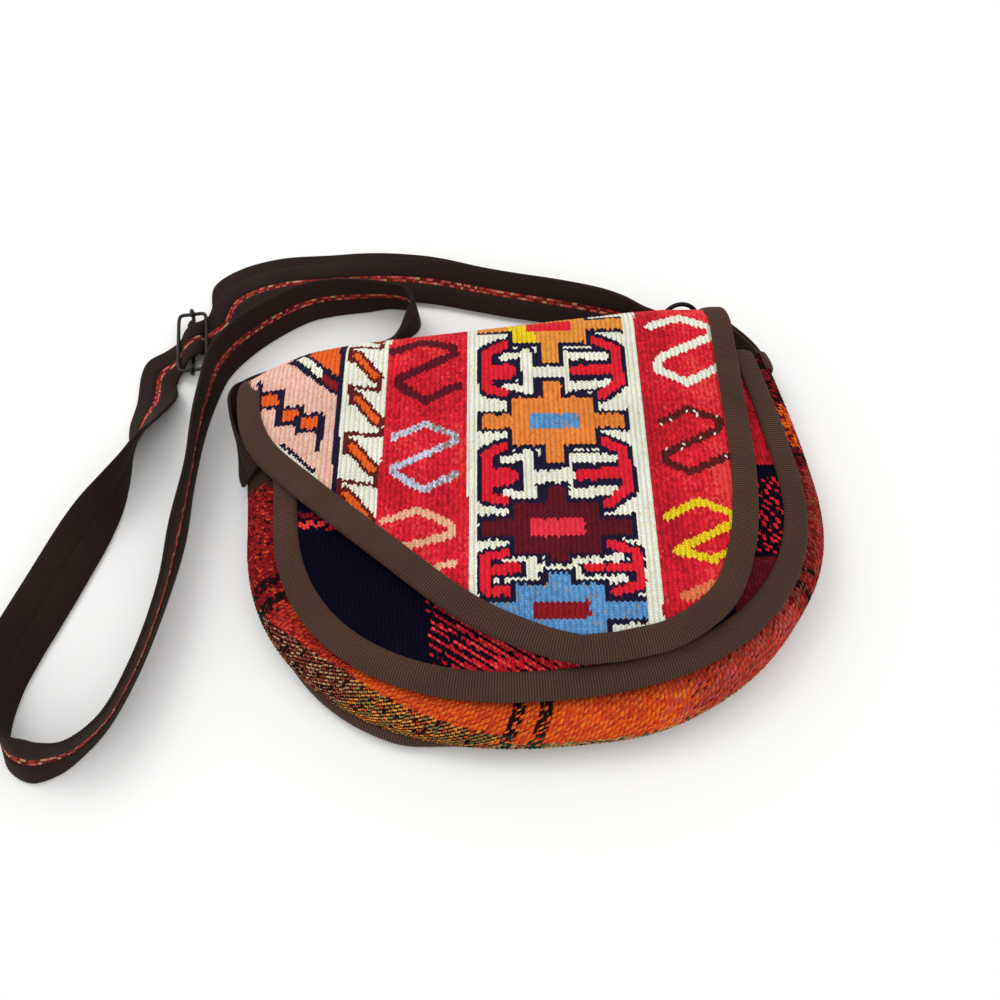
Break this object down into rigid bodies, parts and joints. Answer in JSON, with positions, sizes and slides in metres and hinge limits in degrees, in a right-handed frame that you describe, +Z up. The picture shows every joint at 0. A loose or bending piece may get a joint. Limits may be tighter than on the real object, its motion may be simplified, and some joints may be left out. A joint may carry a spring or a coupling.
{
  "type": "kilim crossbody bag",
  "caption": "D-shaped crossbody bag of patterned flat-woven wool with a slanted fold-over flap, ribbon-bound seams, a bulging gusset and a long strap with a wire slider and ring.",
  "frame": {"origin": "on the underside of the back panel, on the pouch's axis, at the line where the panels are widest", "axes": "+X to the bag's right seen from the front, +Y towards the mouth and the flap's fold, +Z up from the back panel to the flap, the bag lying on its back"},
  "size_m": [0.3871, 0.3099, 0.0427],
  "materials": {
    "kilim": "flat-woven wool, matt",
    "front_wool": "dark checked wool, matt",
    "gusset_wool": "orange twill wool, matt",
    "ribbon": "brown ribbed ribbon",
    "strap_band": "brown ribbed band with a thin woven stripe",
    "black_wire": "black",
    "gunmetal_wire": "dark plated"
  },
  "bodies": {
    "bag": {"back_and_flap_panel": "kilim", "front_panel": "front_wool", "gusset": "gusset_wool", "front_seam_binding": "ribbon", "back_seam_binding": "ribbon", "flap_binding": "ribbon", "mouth_binding": "ribbon", "gusset_end_binding_left": "ribbon", "gusset_end_binding_right": "ribbon", "ring_tab": "ribbon", "strap": "strap_band", "slider_frame": "gunmetal_wire", "slider_bar": "gunmetal_wire"},
    "ring": {"strap_ring": "black_wire"}
  },
  "joints": [
    {"name": "ring_turn", "type": "hinge", "parent": "bag", "child": "ring", "pos_m": [0.093, 0.115, 0.011], "axis": [0, -0.9026, 0.4305], "continuous": true}
  ]
}
